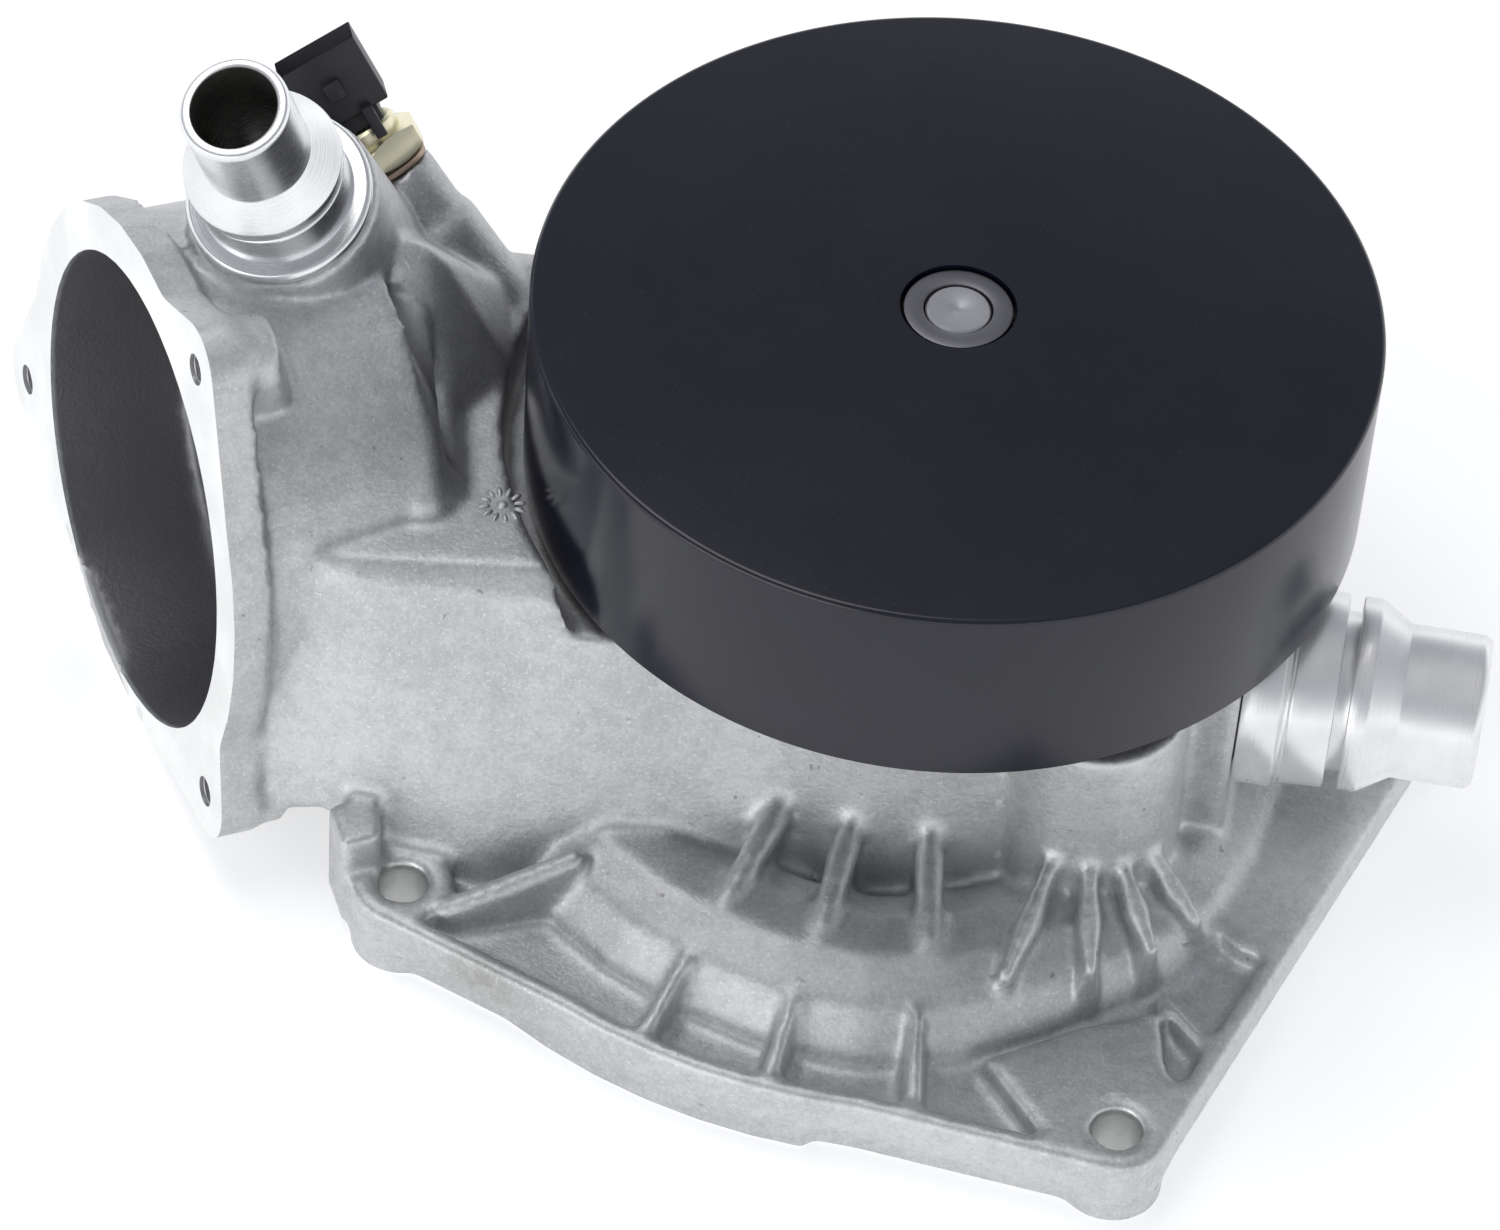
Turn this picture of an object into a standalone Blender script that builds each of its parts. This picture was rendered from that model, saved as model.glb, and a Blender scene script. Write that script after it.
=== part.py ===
"""Belt driven engine coolant pump with a cast thermostat housing.

The shaft is vertical, the mounting face looks down and the pulley is on top.
Lengths are in millimetres and are scaled to metres by mm; angles are in degrees.
Before it is centred, the shaft axis is x = y = 0 and the mounting face is z = 0.
"""
import math

import bmesh
import bpy
from mathutils import Matrix, Vector

mm = 0.001

# gap between neighbouring pieces
GAP = 0.3

# pulley and shaft
PULLEY_RADIUS = 80.0
PULLEY_TOP = 107.0
PULLEY_HEIGHT = 41.0
PULLEY_WALL = 4.0
PULLEY_WEB = 4.6
PULLEY_HOLE = 11.0
HUB_NOSE = 10.3
HUB_FLANGE = 24.0
SHAFT_RADIUS = 8.0
SHAFT_NOSE = 6.2
SHAFT_TAIL = 6.0

# flange of the housing
FLANGE_TOP = 16.0
FLANGE_FLOOR = 10.6
FLANGE_LIP = 6.0
RIM_WIDTH = 4.0
SKIRT_INSET = 3.0
CORNER_RADIUS = 10.0
FRONT_RADIUS = 119.0
BOLT_RADIUS = 4.75
BACK_RADIUS = 84.0
BOLTS = [(-93.1, -76.2), (44.8, -117.1), (93.5, -0.7), (52.0, 80.0), (-24.0, 104.0), (-90.0, 62.0)]

# scroll round the impeller: angle, radius of its middle, radius of its section
SCROLL_CENTRE_Z = 4.0
SCROLL_WALL = 4.5
SCROLL = [(195, 50, 9), (130, 54, 10.5), (60, 57, 12.5), (-20, 66, 16), (-60, 77, 19.6),
          (-95, 86, 21.8), (-125, 84, 21.0), (-150, 72, 18), (-172, 56, 13)]

# middle of the housing under the pulley
TURRET_RADIUS = 60.0
TURRET_FOOT = 67.0
TURRET_TOP = 60.0
PULLEY_CLEARANCE = 84.0
CLEARANCE_Z = 62.5
CHAMBER_RADIUS = 54.0
CHAMBER_FLOOR = 30.0
CHAMBER_ROOF = 55.0
IMPELLER_ROOM = 56.0
IMPELLER_ROOF = 25.0
EYE_RADIUS = 28.0

# thermostat mouth
THROAT = Vector((-153.5, -16.5, 51.6))
THROAT_NORMAL = Vector((-0.878, -0.471, 0.088)).normalized()
THROAT_ACROSS = THROAT_NORMAL.cross(Vector((0, 0, 1))).normalized() * -1
THROAT_BORE = 46.6
THROAT_RIM = 56.0
THROAT_BODY = 52.5
THROAT_LENGTH = 44.0
THROAT_PLATE = 8.0
EAR_RADIUS = 9.2
EARS = [(-56.7, -23.8), (23.7, 53.9), (49.0, -33.9)]
EAR_HOLE = 3.3

# hose spigots: radius and height of each corner, outer side, from the tip down
UPPER_SEAT = Vector((-128.0, 5.3, 111.6))
UPPER_AXIS = Vector((-0.169, -0.373, 0.913)).normalized()
UPPER_BORE = 8.1
UPPER_PROFILE = [(9.8, 39.6), (10.4, 38.6), (10.4, 21.3), (15.1, 16.2), (15.1, 13.7), (13.6, 13.7),
                 (13.6, 12.2), (14.5, 11.6), (14.5, 2.8), (17.0, 2.8), (17.8, 2.0), (17.8, GAP),
                 (12.7, GAP), (12.7, -4.6), (10.8, -4.6), (10.8, -7.4), (12.7, -7.4), (12.7, -16.0)]
OUTLET_SEAT = Vector((61.5, -25.3, 41.6))
OUTLET_AXIS = Vector((math.cos(math.radians(-4)), math.sin(math.radians(-4)), 0))
OUTLET_BORE = 12.0
OUTLET_PROFILE = [(13.9, 45.5), (14.8, 44.2), (14.8, 30.0), (18.6, 23.9), (18.6, 20.4), (15.4, 20.4),
                  (15.4, 17.6), (18.7, 17.6), (19.1, 9.4), (18.5, 9.0), (18.5, 8.2), (20.1, 7.6),
                  (20.1, GAP), (15.7, GAP), (15.7, -4.6), (13.8, -4.6), (13.8, -7.4), (15.7, -7.4),
                  (15.7, -12.0)]
UPPER_HOLE = 13.0
OUTLET_HOLE = 16.0
RING_INSET = 1.05
RING_SECTION = 0.8
RING_Z = -6.0

# coolant temperature sensor
SENSOR_SEAT = Vector((-112.0, 36.5, 91.0))
SENSOR_AXIS = Vector((-0.553, 0.33, 0.765)).normalized()
SENSOR_HEX = 19.0
SENSOR_THREAD = 6.0

# bearing: balls in the upper row, rollers in the lower row
RACE_OUTER = 18.0
RACE_INNER = 16.0
RACE_BOTTOM = 52.0
RACE_TOP = 87.0
PITCH_RADIUS = 12.0
ROLLING_RADIUS = 3.7
ROLLING_COUNT = 8
ROLLER_LENGTH = 12.0
BALL_ROW = 77.0
ROLLER_ROW = 62.0
TUBE_RADIUS = 23.0


def clear_scene():
    for item in list(bpy.data.objects):
        bpy.data.objects.remove(item, do_unlink=True)


def make_collection(name):
    collection = bpy.data.collections.new(name)
    bpy.context.scene.collection.children.link(collection)
    return collection


def make_material(name, color, roughness, metallic):
    material = bpy.data.materials.new(name)
    material.use_nodes = True
    shader = material.node_tree.nodes["Principled BSDF"]
    shader.inputs["Base Color"].default_value = (*color, 1.0)
    shader.inputs["Roughness"].default_value = roughness
    shader.inputs["Metallic"].default_value = metallic
    return material


clear_scene()
parts = make_collection("engine_coolant_pump")
flange_cuts = make_collection("flange_cutters")
trims = make_collection("trim_cutters")
castings = make_collection("casting_solids")
hollows = make_collection("hollow_cutters")
inner_walls = make_collection("inner_wall_solids")
bores = make_collection("bore_cutters")
blades = make_collection("impeller_solids")
small_cuts = make_collection("small_cutters")

pump_frame = bpy.data.objects.new("pump_frame", None)
parts.objects.link(pump_frame)

cast_aluminium = make_material("cast_aluminium", (0.62, 0.63, 0.64), 0.5, 0.8)
machined_aluminium = make_material("machined_aluminium", (0.80, 0.81, 0.83), 0.25, 1.0)
black_enamel = make_material("black_enamel", (0.02, 0.02, 0.03), 0.22, 0.1)
hub_steel = make_material("hub_steel", (0.45, 0.45, 0.48), 0.35, 1.0)
bearing_steel = make_material("bearing_steel", (0.60, 0.60, 0.62), 0.15, 1.0)
cage_plastic = make_material("cage_plastic", (0.55, 0.42, 0.20), 0.5, 0.0)
seal_rubber = make_material("seal_rubber", (0.03, 0.03, 0.03), 0.7, 0.0)
seal_carbon = make_material("seal_carbon", (0.06, 0.06, 0.07), 0.4, 0.0)
seal_steel = make_material("seal_steel", (0.55, 0.55, 0.55), 0.3, 1.0)
impeller_metal = make_material("impeller_metal", (0.50, 0.50, 0.52), 0.4, 0.9)
brass = make_material("brass", (0.78, 0.62, 0.30), 0.3, 1.0)
copper = make_material("copper", (0.72, 0.38, 0.25), 0.35, 1.0)
plug_plastic = make_material("plug_plastic", (0.03, 0.03, 0.04), 0.5, 0.0)
terminal_tin = make_material("terminal_tin", (0.70, 0.70, 0.68), 0.3, 1.0)


def axis_matrix(origin, axis):
    """Places local +Z along an axis, in metres."""
    turn = Vector(axis).to_track_quat("Z", "Y").to_matrix().to_4x4()
    return Matrix.Translation(Vector(origin) * mm) @ turn


def throat_matrix():
    """Local X runs across the thermostat mouth, local Y up it, local Z out of it."""
    up = THROAT_NORMAL.cross(THROAT_ACROSS)
    turn = Matrix((THROAT_ACROSS, up, THROAT_NORMAL)).transposed().to_4x4()
    return Matrix.Translation(THROAT * mm) @ turn


def add_object(name, mesh, collection, matrix=None, material=None):
    item = bpy.data.objects.new(name, mesh)
    collection.objects.link(item)
    item.parent = pump_frame
    if matrix is not None:
        item.matrix_basis = matrix
    if material is not None:
        mesh.materials.append(material)
    if collection is not parts:
        item.hide_render = True
        item.display_type = "WIRE"
    return item


def finish_mesh(name, mesh_data, smooth_angle=None):
    mesh = bpy.data.meshes.new(name)
    mesh_data.to_mesh(mesh)
    mesh_data.free()
    if smooth_angle is not None:
        mesh.shade_smooth()
        mesh.set_sharp_from_angle(angle=math.radians(smooth_angle))
    return mesh


def cone(name, radius, radius_top, z_low, z_high, collection, matrix=None, sides=48, material=None):
    mesh_data = bmesh.new()
    middle = Matrix.Translation((0, 0, (z_low + z_high) / 2 * mm))
    bmesh.ops.create_cone(mesh_data, cap_ends=True, segments=sides, radius1=radius * mm,
                          radius2=radius_top * mm, depth=(z_high - z_low) * mm, matrix=middle)
    return add_object(name, finish_mesh(name, mesh_data, 30), collection, matrix, material)


def cylinder(name, radius, z_low, z_high, collection, matrix=None, sides=48, material=None):
    return cone(name, radius, radius, z_low, z_high, collection, matrix, sides, material)


def upright(x, y):
    return Matrix.Translation((x * mm, y * mm, 0))


def block(name, low, high, collection, matrix=None, material=None):
    mesh_data = bmesh.new()
    low, high = Vector(low) * mm, Vector(high) * mm
    size = Matrix.Diagonal((*(high - low), 1))
    bmesh.ops.create_cube(mesh_data, size=1, matrix=Matrix.Translation((low + high) / 2) @ size)
    return add_object(name, finish_mesh(name, mesh_data), collection, matrix, material)


def hull(name, points, collection, matrix=None):
    """The smallest convex solid round some corners."""
    mesh_data = bmesh.new()
    for point in points:
        mesh_data.verts.new(Vector(point) * mm)
    bmesh.ops.convex_hull(mesh_data, input=mesh_data.verts)
    return add_object(name, finish_mesh(name, mesh_data), collection, matrix)


def curve_to_mesh(item, name, collection):
    """Welds a curve's loose caps and swaps the curve for a mesh object."""
    bpy.context.view_layer.update()
    evaluated = item.evaluated_get(bpy.context.evaluated_depsgraph_get())
    mesh_data = bmesh.new()
    mesh_data.from_mesh(bpy.data.meshes.new_from_object(evaluated))
    bmesh.ops.remove_doubles(mesh_data, verts=mesh_data.verts, dist=1e-6)
    matrix = item.matrix_basis.copy()
    bpy.data.objects.remove(item, do_unlink=True)
    return add_object(name, finish_mesh(name, mesh_data), collection, matrix)


def plate(name, outline, z_low, z_high, collection):
    """A flat outline with a thickness."""
    curve = bpy.data.curves.new(name + "_outline", "CURVE")
    curve.dimensions = "2D"
    curve.fill_mode = "BOTH"
    curve.extrude = (z_high - z_low) / 2 * mm
    spline = curve.splines.new("POLY")
    spline.points.add(len(outline) - 1)
    for point, (x, y) in zip(spline.points, outline):
        point.co = (x * mm, y * mm, 0, 1)
    spline.use_cyclic_u = True
    middle = Matrix.Translation((0, 0, (z_low + z_high) / 2 * mm))
    item = add_object(name + "_outline", curve, collection, middle)
    return curve_to_mesh(item, name, collection)


def turned(name, profile, collection, matrix=None, steps=48, material=None, closed=True):
    """A solid of revolution about local Z; the profile runs down its outer side."""
    mesh = bpy.data.meshes.new(name)
    edges = [(i, i + 1) for i in range(len(profile) - 1)]
    if closed:
        edges.append((len(profile) - 1, 0))
    mesh.from_pydata([(radius * mm, 0, z * mm) for radius, z in profile], edges, [])
    item = add_object(name, mesh, collection, matrix, material)
    screw = item.modifiers.new("turn", "SCREW")
    screw.steps = steps
    screw.render_steps = steps
    screw.use_merge_vertices = True
    screw.merge_threshold = 1e-6
    return item


def boolean(item, operation, operand):
    modifier = item.modifiers.new(operation.lower(), "BOOLEAN")
    modifier.operation = operation
    modifier.solver = "EXACT"
    if isinstance(operand, bpy.types.Collection):
        modifier.operand_type = "COLLECTION"
        modifier.collection = operand
    else:
        modifier.object = operand
    return modifier


def arc(x, y, radius, start, end, count):
    step = (end - start) / (count - 1)
    turns = [math.radians(start + step * i) for i in range(count)]
    return [(x + radius * math.cos(turn), y + radius * math.sin(turn)) for turn in turns]


def flange_outline(inset):
    """Bolt corners joined by straight edges, with one long arc along the front."""
    radius = CORNER_RADIUS - inset
    corner_turns = [(179, 240), (260, 336), (-24, 70), (-12, 72), (72, 122), (122, 179)]
    outline = []
    for index, ((x, y), (start, end)) in enumerate(zip(BOLTS, corner_turns)):
        outline += arc(x, y, radius, start, end, 5)
        if index == 0:
            outline += arc(0, 0, FRONT_RADIUS - inset, 239, 268, 7)
        if index == 2:
            outline += arc(0, 0, BACK_RADIUS - inset, 15, 47, 6)
    return outline


def ear_outline(inset):
    """The thermostat face: a ring with three bolt ears and a flattened underside."""
    outline = arc(0, 0, THROAT_RIM - inset, 84, 180, 9)
    ear_turns = [(175, 255), (-68, 12), (20, 112)]
    order = [0, 2, 1]
    for place, turns in zip(order, ear_turns):
        x, y = EARS[place]
        outline += arc(x, y, EAR_RADIUS - inset, *turns, 6)
        if place == 0:
            outline += [(9.0, -48.6 + inset / 2)]
        if place == 2:
            outline += arc(0, 0, THROAT_RIM - inset, -18, 36, 6)
    return outline


def scroll_at(angle):
    """Radius of the scroll's middle and of its section, eased between the given angles."""
    for (a0, m0, s0), (a1, m1, s1) in zip(SCROLL, SCROLL[1:]):
        if a1 <= angle <= a0:
            part = (a0 - angle) / (a0 - a1)
            part = part * part * (3 - 2 * part)
            return m0 + (m1 - m0) * part, s0 + (s1 - s0) * part
    return SCROLL[-1][1:]


def scroll(name, wall, collection):
    """The spiral channel, as a tube that swells along its way."""
    curve = bpy.data.curves.new(name + "_path", "CURVE")
    curve.dimensions = "3D"
    curve.bevel_depth = mm
    curve.bevel_resolution = 5
    curve.use_fill_caps = True
    spline = curve.splines.new("POLY")
    first, last, step = SCROLL[0][0], SCROLL[-1][0], 9
    angles = [first - step * i for i in range(int((first - last) / step) + 1)]
    spline.points.add(len(angles) - 1)
    for point, angle in zip(spline.points, angles):
        middle, section = scroll_at(angle)
        turn = math.radians(angle)
        x, y = middle * math.cos(turn), middle * math.sin(turn)
        point.co = (x * mm, y * mm, SCROLL_CENTRE_Z * mm, 1)
        point.radius = section - wall
    item = add_object(name + "_path", curve, collection)
    return curve_to_mesh(item, name, collection)


def rib(name, start, end, foot_z, collection, width=5.0, crest=2.4):
    """A tapered web whose top runs from one point to the other."""
    start, end = Vector(start), Vector(end)
    along = end - start
    along.z = 0
    side = Vector((-along.y, along.x, 0)).normalized()
    corners = []
    for point in (start, end):
        low = Vector((point.x, point.y, foot_z))
        corners += [point + side * crest / 2, point - side * crest / 2]
        corners += [low + side * width / 2, low - side * width / 2]
    return hull(name, corners, collection)


def polar(radius, angle, z):
    turn = math.radians(angle)
    return Vector((radius * math.cos(turn), radius * math.sin(turn), z))


def build_flange():
    housing = plate("pump_housing", flange_outline(0), FLANGE_LIP, FLANGE_TOP, parts)
    housing.data.materials.append(cast_aluminium)
    plate("flange_pocket", flange_outline(RIM_WIDTH), FLANGE_FLOOR, FLANGE_TOP + 2, flange_cuts)
    plate("flange_skirt", flange_outline(SKIRT_INSET), -2, FLANGE_LIP + 0.6, castings)
    outer = arc(0, 0, FRONT_RADIUS - 1, 233, 264, 7)
    bulge = outer + arc(0, 0, FRONT_RADIUS - 14, 264, 233, 4)
    plate("skirt_bulge", bulge, -3, FLANGE_LIP + 0.4, castings)
    for number, (x, y) in enumerate(BOLTS):
        boss_top = FLANGE_TOP - 0.05
        cylinder(f"bolt_boss_{number}", CORNER_RADIUS - 0.2, -4, boss_top, castings, upright(x, y), 24)
        cylinder(f"bolt_hole_{number}", BOLT_RADIUS, -2, FLANGE_TOP + 4, bores, upright(x, y), 20)
    front_corner = [(19, -104), (32, -121.8), (44.8, -125), (53.5, -117), (56.5, -108), (53, -101),
                    (51, -88), (36, -94)]
    plate("front_corner_plate", front_corner, FLANGE_FLOOR - 1, FLANGE_TOP - 0.05, castings)
    side_shelf = [(50, -55), (65.4, -71), (72, -72.6), (93, -23), (98.5, -7), (92, 6.5), (78, 13), (60, 9)]
    plate("side_shelf", side_shelf, FLANGE_FLOOR - 1, FLANGE_TOP - 0.05, castings)
    tab_plan = [(-108.5, -68), (-104.5, -77.5), (-97.5, -74), (-100, -62)]
    tab = [(x, y, z) for x, y in tab_plan for z in (3, 25.5)]
    hull("upright_tab", tab, castings)
    return housing


def build_castings():
    scroll("scroll_wall", 0, castings)
    cone("turret", TURRET_FOOT, TURRET_RADIUS, FLANGE_LIP, TURRET_TOP, castings, sides=48)
    conduit = [(-107, -67, 12), (-80, -70.5, 12), (-32, -67, 12), (0, -62, 12), (-20, 62, 12), (-95, 58, 12),
               (-107, 40, 12), (-107, -51.5, 71), (-107, -48.5, 74), (-72, -46, 74), (-20, -49, 66),
               (-40, 40, 70), (-84, 33, 74), (-107, 36, 74)]
    hull("conduit_wall", conduit, castings)
    mouth_side = [(-126.5, -62.5, 15.5), (-104.5, -64.8, 20), (-104.5, 44, 20), (-150, 30, 22),
                  (-121, -51.5, 68), (-117, -48.5, 73.9), (-104.5, -51.4, 70.9), (-104.5, -48.4, 73.9),
                  (-104.5, 36, 73.9), (-140, 22, 71)]
    hull("mouth_side_wall", mouth_side, castings)
    throat = throat_matrix()
    cylinder("throat_wall", THROAT_BODY, -THROAT_LENGTH, -1, castings, throat, 48)
    face = plate("throat_plate", ear_outline(0), -THROAT_PLATE, 0, castings)
    face.matrix_basis = throat @ face.matrix_basis
    for number, (x, y) in enumerate(EARS):
        place = throat @ upright(x, y)
        inward = 0.80
        corners = []
        for angle in range(0, 360, 30):
            cx = EAR_RADIUS * 0.92 * math.cos(math.radians(angle))
            cy = EAR_RADIUS * 0.92 * math.sin(math.radians(angle))
            corners += [(x + cx, y + cy, -1), (x + cx, y + cy, -14)]
            corners += [(x * inward + cx, y * inward + cy, -1), (x * inward + cx, y * inward + cy, -18)]
        hull(f"ear_boss_{number}", corners, castings, throat)
        cylinder(f"ear_hole_{number}", EAR_HOLE, -18, 3, bores, place, 16)
    seat = axis_matrix(UPPER_SEAT, UPPER_AXIS)
    cone("upper_boss", 21.5, 18.6, -34, 0, castings, seat, 32)
    sensor = axis_matrix(SENSOR_SEAT, SENSOR_AXIS)
    cone("sensor_neck", 10.4, 9.3, -14, 0, castings, sensor, 28)
    cone("sensor_root", 14.5, 11.4, -42, -12.5, castings, sensor, 28)
    leaf = [(-107, 7, 102.5), (-101, 9, 100), (-97, 10, 95), (-92.5, 9.5, 86), (-86.5, 5, 79),
            (-95.5, -14.5, 73), (-91, -12, 72.5), (-82.5, 3, 73), (-108, 26, 88), (-84, 28, 71),
            (-110, 34, 70), (-112, -6, 72)]
    hull("leaf_gusset", leaf, castings)
    cone("upright_boss", 18.6, 17.2, FLANGE_LIP, TURRET_TOP, castings, upright(33.5, -51), 36)
    outlet = axis_matrix(OUTLET_SEAT, OUTLET_AXIS)
    block("outlet_block", (-22.5, -35.6, -26), (22.5, 19.4, 0), castings, outlet)


def build_ribs():
    for number, angle in enumerate((-111.5, -99, -85.5)):
        rib(f"wall_rib_{number}", polar(62, angle, 33), polar(89, angle, 25.5), 12, castings)
        rib(f"rim_rib_{number}", polar(99, angle - 1, 21.5), polar(116.5, angle - 1, 15.5), 8, castings)
    centre = Vector((33.5, -51, 0))
    fan = [(-106.5, 43, 25), (-84, 37.5, 25), (-63, 34, 24), (-40, 31, 22)]
    for number, (angle, reach, z) in enumerate(fan):
        start = centre + polar(14, angle, 35)
        rib(f"boss_rib_{number}", start, centre + polar(reach, angle, z), 11, castings)
    rib("corner_rib", (-62, -74, 25), (-85, -82, 16.5), 8, castings, 6.5, 3)
    rib("side_rib", (51, -84, 15.8), (60.5, -95, 15.2), 8, castings)
    for number, (angle, reach) in enumerate([(32, 79), (62, 88), (96, 98), (128, 96)]):
        rib(f"back_rib_{number}", polar(58, angle, 30), polar(reach, angle, 15.5), 8, castings)


def build_hollows():
    throat = throat_matrix()
    cylinder("mouth_bore", THROAT_BORE, -28, 5, hollows, throat, 48)
    cylinder("mouth_step", 42.5, -37.5, -26, hollows, throat @ upright(0, 3.5), 40)
    passage = [(-112, -52, 24), (-80, -60, 24), (-34, -57, 24), (-20, 40, 24), (-90, 48, 24), (-122, 24, 24),
               (-108, -44, 57), (-72, -42, 57), (-30, -42, 57), (-30, 30, 57), (-84, 27, 57), (-118, 20, 57)]
    hull("conduit_room", passage, hollows)
    cylinder("intake_room", CHAMBER_RADIUS, CHAMBER_FLOOR, CHAMBER_ROOF, hollows, sides=44)
    cylinder("eye", EYE_RADIUS, IMPELLER_ROOF - 2, CHAMBER_FLOOR + 2, hollows, sides=32)
    cylinder("impeller_room", IMPELLER_ROOM, -3, IMPELLER_ROOF, hollows, sides=44)
    scroll("scroll_channel", SCROLL_WALL, hollows)
    cylinder("pulley_clearance", PULLEY_CLEARANCE, CLEARANCE_Z, 130, trims, sides=56)
    block("below_mounting_face", (-170, -170, -40), (170, 170, 0), trims)
    cylinder("bearing_tube", TUBE_RADIUS, 36, RACE_TOP + 2.4, inner_walls, sides=36)
    cylinder("bearing_seat", RACE_OUTER + GAP, RACE_BOTTOM - 1, RACE_TOP + 6, bores, sides=32)
    cylinder("seal_seat", 15.3, 30, RACE_BOTTOM, bores, sides=32)
    seat = axis_matrix(UPPER_SEAT, UPPER_AXIS)
    cylinder("upper_hole", UPPER_HOLE, -26, 4, bores, seat, 28)
    outlet = axis_matrix(OUTLET_SEAT, OUTLET_AXIS)
    cylinder("outlet_hole", OUTLET_HOLE, -22, 4, bores, outlet, 28)
    cylinder("outlet_spot_face", 21.0, 0, 14, bores, outlet, 36)
    sensor = axis_matrix(SENSOR_SEAT, SENSOR_AXIS)
    cylinder("sensor_hole", SENSOR_THREAD + GAP, -48, 4, bores, sensor, 20)
    cylinder("sensor_spot_face", 11.6, 0, 32, bores, sensor, 28)


def build_housing():
    housing = build_flange()
    build_castings()
    build_ribs()
    build_hollows()
    boolean(housing, "DIFFERENCE", flange_cuts)
    boolean(housing, "UNION", castings)
    boolean(housing, "DIFFERENCE", trims)
    boolean(housing, "DIFFERENCE", hollows)
    boolean(housing, "UNION", inner_walls)
    boolean(housing, "DIFFERENCE", bores)
    return housing


def build_spigot(name, seat, axis, outer, bore):
    place = axis_matrix(seat, axis)
    profile = outer + [(bore, outer[-1][1]), (bore, outer[0][1])]
    turned(name, profile, parts, place, 32, machined_aluminium)
    return place


def build_o_ring(name, hole, matrix):
    circle = arc(hole - RING_INSET, RING_Z, RING_SECTION, 90, -210, 6)
    turned(name, circle, parts, matrix, 24, seal_rubber)


def build_spigots():
    place = build_spigot("upper_hose_spigot", UPPER_SEAT, UPPER_AXIS, UPPER_PROFILE, UPPER_BORE)
    build_o_ring("upper_spigot_o_ring", UPPER_HOLE, place)
    place = build_spigot("outlet_hose_spigot", OUTLET_SEAT, OUTLET_AXIS, OUTLET_PROFILE, OUTLET_BORE)
    build_o_ring("outlet_spigot_o_ring", OUTLET_HOLE, place)


def build_sensor():
    place = axis_matrix(SENSOR_SEAT, SENSOR_AXIS)
    washer = [(9.0, 1.4), (9.0, GAP), (7.0, GAP), (7.0, 1.4)]
    turned("sensor_seal_washer", washer, parts, place, 24, copper)
    hex_radius = SENSOR_HEX / 2 / math.cos(math.radians(30))
    low, high, collar_top = 1.4 + GAP, 7.9, 10.6
    turn = Matrix.Rotation(math.radians(20), 4, "Z")
    body = cylinder("sensor_body", hex_radius, low, high, parts, place @ turn, 6, brass)
    stem = [(SENSOR_THREAD, low + 1), (SENSOR_THREAD, -16), (3.6, -18), (3.6, -27), (0, -27), (0, low + 1)]
    turned("sensor_stem", stem, small_cuts, place, 20, closed=False)
    boolean(body, "UNION", bpy.data.objects["sensor_stem"])
    collar = [(0, collar_top), (7.2, collar_top), (7.2, high - 1), (0, high - 1)]
    turned("sensor_collar", collar, small_cuts, place, 20, closed=False)
    boolean(body, "UNION", bpy.data.objects["sensor_collar"])
    build_plug(place @ Matrix.Rotation(math.radians(140), 4, "Z"), collar_top + GAP)


def build_plug(place, foot_z):
    """The plug housing with its open socket, latch nub and two tabs that hang over the collar."""
    body_z, top_z, socket_z = foot_z + 3.2, foot_z + 17.2, foot_z + 6.5
    plug = block("sensor_plug_housing", (-8.2, -6.5, body_z), (8.2, 6.5, top_z), parts, place, plug_plastic)
    foot = block("plug_foot", (-5.5, -5.6, foot_z), (5.5, 5.6, body_z + 1), small_cuts, place)
    nub = block("plug_latch", (-3.6, -8.0, body_z + 5), (-0.2, -6, body_z + 8.6), small_cuts, place)
    boolean(plug, "UNION", foot)
    boolean(plug, "UNION", nub)
    for number, side in enumerate((-3.6, 3.6)):
        low, high = (side - 1.1, -9.0, foot_z - 2.6), (side + 1.1, -7.7, body_z + 1)
        tab = block(f"plug_tab_{number}", low, high, small_cuts, place)
        low, high = (side - 1.05, -8.9, foot_z + 1), (side + 1.05, -5, body_z + 0.9)
        bridge = block(f"plug_tab_bridge_{number}", low, high, small_cuts, place)
        boolean(plug, "UNION", tab)
        boolean(plug, "UNION", bridge)
    socket = block("plug_socket", (-6.6, -5, socket_z), (6.6, 5, top_z + 3), small_cuts, place)
    boolean(plug, "DIFFERENCE", socket)
    for number, side in enumerate((-2.5, 2.5), 1):
        low, high = (side - 0.4, -1.4, socket_z + GAP), (side + 0.4, 1.4, top_z - 3)
        block(f"sensor_terminal_{number}", low, high, parts, place, terminal_tin)


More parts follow.
